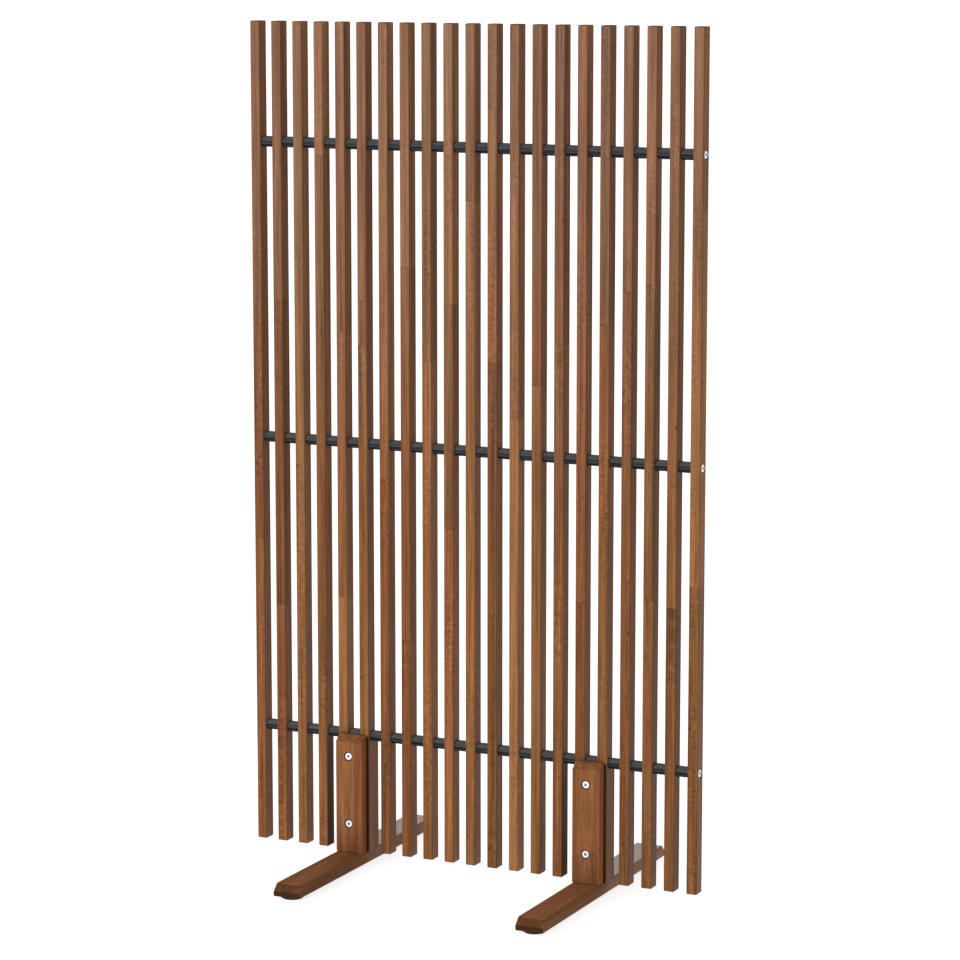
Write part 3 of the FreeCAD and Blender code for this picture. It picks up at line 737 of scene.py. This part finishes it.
def zinc_material(name, sockets=(), threaded=False):
    """Zinc-plated steel, bright but cloudy, with painted shade in its sockets and thread roots. Each
    socket is an axis and a point on it.
    """
    material, tree, shader = new_material(name)
    cloud = add(tree, "ShaderNodeTexNoise", {"Vector": spot(tree), "Scale": 260.0, "Detail": 4.0})
    fine = add(tree, "ShaderNodeTexNoise", {"Vector": spot(tree), "Scale": 3500.0, "Detail": 2.0})
    share = smooth(tree, cloud.outputs["Fac"], 0.3, 0.7)
    colour = blend(tree, share, ZINC_DULL, ZINC_BRIGHT)
    for axis, centre in sockets:
        inside = around(tree, axis, centre, SOCKET_RADIUS - 0.0003, SOCKET_RADIUS + 0.0002)
        colour = blend(tree, inside, colour, SOCKET_PAINTED_SHADE)
    relief, strength, reach = fine.outputs["Fac"], 0.1, 0.0001
    if threaded:
        relief, strength, reach = thread_height(tree), 1.0, 0.0004
        colour = blend(tree, smooth(tree, relief, 0.5, 0.1, 0.0, 0.7), colour, THREAD_ROOT_PAINTED_SHADE)
    tree.links.new(colour, shader.inputs["Base Color"])
    shader.inputs["Metallic"].default_value = 1.0
    rough = smooth(tree, cloud.outputs["Fac"], 0.3, 0.7, 0.26, 0.4)
    tree.links.new(rough, shader.inputs["Roughness"])
    bump = add(tree, "ShaderNodeBump", {"Height": relief, "Strength": strength, "Distance": reach})
    tree.links.new(bump.outputs[0], shader.inputs["Normal"])
    return material


zinc = zinc_material("zinc_plated_steel")
zinc_thread = zinc_material("zinc_plated_thread", threaded=True)
nut_zinc = zinc_material("zinc_plated_nuts", [("x", line) for line in rod_lines])
STEEL_KINDS = {"tie_rod": zinc, "rod_nuts": nut_zinc, "post_inserts": zinc, "post_screws": zinc,
               "glide_inserts": zinc, "glide_stem": zinc_thread}
for name in nodes:
    for kind, material in STEEL_KINDS.items():
        if name.startswith(kind):
            dress(name, material)
for side, lines in bolt_lines.items():
    sockets = [("y", line) for line in lines]
    dress(f"clamp_bolts_{side}", zinc_material(f"zinc_plated_bolts_{side}", sockets))
print("steel dressed")

# %% [markdown]
# ## Dowels
#
# A dowel stays bare: glue wouldn't hold on oil. It is pale beech or the slats' own wood unstained.

# %% Dowels
BARE_WOOD = (0.9, 0.5)
BARE_BRIGHTNESS = 1.6
for side in ("left", "right"):
    name = f"post_dowel_{side}"
    dress(name, wood_material(f"bare_{name}", "z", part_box(name), 71, SLAT_BOARD, [BARE_WOOD],
                              stain=BARE_BRIGHTNESS))
print("dowels dressed")

# %% [markdown]
# ## Floor
#
# The screen stands on a pale, seamless floor. It glows a little by itself, as a lit paper sweep
# does, so that the shadow under the feet stays as faint as in the photograph.

# %% Floor
FLOOR_REACH = 150.0
FLOOR_GLOW = 0.78

floor_mesh = bpy.data.meshes.new("studio_floor")
corners = [(x, y, 0.0) for x, y in ((-FLOOR_REACH, -FLOOR_REACH), (FLOOR_REACH, -FLOOR_REACH),
                                    (FLOOR_REACH, FLOOR_REACH), (-FLOOR_REACH, FLOOR_REACH))]
floor_mesh.from_pydata(corners, [], [(0, 1, 2, 3)])
floor = bpy.data.objects.new("studio_floor", floor_mesh)
bpy.context.scene.collection.objects.link(floor)
floor_material, _, floor_shader = new_material("pale_studio_floor")
floor_shader.inputs["Base Color"].default_value = grey(0.34)
floor_shader.inputs["Roughness"].default_value = 0.9
floor_shader.inputs["Emission Color"].default_value = grey(1.0)
floor_shader.inputs["Emission Strength"].default_value = FLOOR_GLOW
floor_mesh.materials.append(floor_material)
print("floor laid")

# %% [markdown]
# ## Sky and light
#
# The light is that of a soft studio. A large soft box low in the left front models the slats:
# their fronts are bright, their right sides fall off, and its sheen greys the upper fronts. The
# sky behind the screen is dimmer, except along the horizon and for a broad bright patch in the
# back left, which lays a sheen on the back of the bars' tops.

# %% Sky and light
FRONT_SKY = grey(0.92)
BACK_SKY = grey(0.5)
HORIZON = grey(1.02)
BRIGHT_PATCH = grey(2.2)
KEY_PLACE = (-2.9, -4.9, 2.4)
KEY_AIM = (0.0, 0.0, 0.8)
KEY_SIZE = (3.0, 3.2)
KEY_POWER = 250

world = bpy.data.worlds.new("studio_sky")
world.use_nodes = True
sky = world.node_tree
direction = add(sky, "ShaderNodeTexCoord").outputs["Generated"]
toward = add(sky, "ShaderNodeSeparateXYZ", {0: direction}).outputs
shade = blend(sky, smooth(sky, toward["Y"], -0.3, 0.4), FRONT_SKY, BACK_SKY)
shade = blend(sky, smooth(sky, toward["Z"], 0.3, 0.5, 1.0, 0.0), shade, HORIZON)
patch = calc(sky, "MULTIPLY", smooth(sky, toward["X"], 0.1, -0.35),
             smooth(sky, toward["Y"], 0.2, 0.6))
patch = calc(sky, "MULTIPLY", patch, smooth(sky, toward["Z"], 0.6, 0.4))
shade = blend(sky, patch, shade, BRIGHT_PATCH)
sky.links.new(shade, sky.nodes["Background"].inputs["Color"])
bpy.context.scene.world = world

key_data = bpy.data.lights.new("key_soft_box", "AREA")
key_data.shape = "RECTANGLE"
key_data.size, key_data.size_y = KEY_SIZE
key_data.energy = KEY_POWER
key = bpy.data.objects.new("key_soft_box", key_data)
key.location = KEY_PLACE
key.rotation_euler = (Vector(KEY_AIM) - Vector(KEY_PLACE)).to_track_quat("-Z", "Y").to_euler()
bpy.context.scene.collection.objects.link(key)
bpy.context.scene.view_settings.view_transform = "Standard"
print("sky and light set")
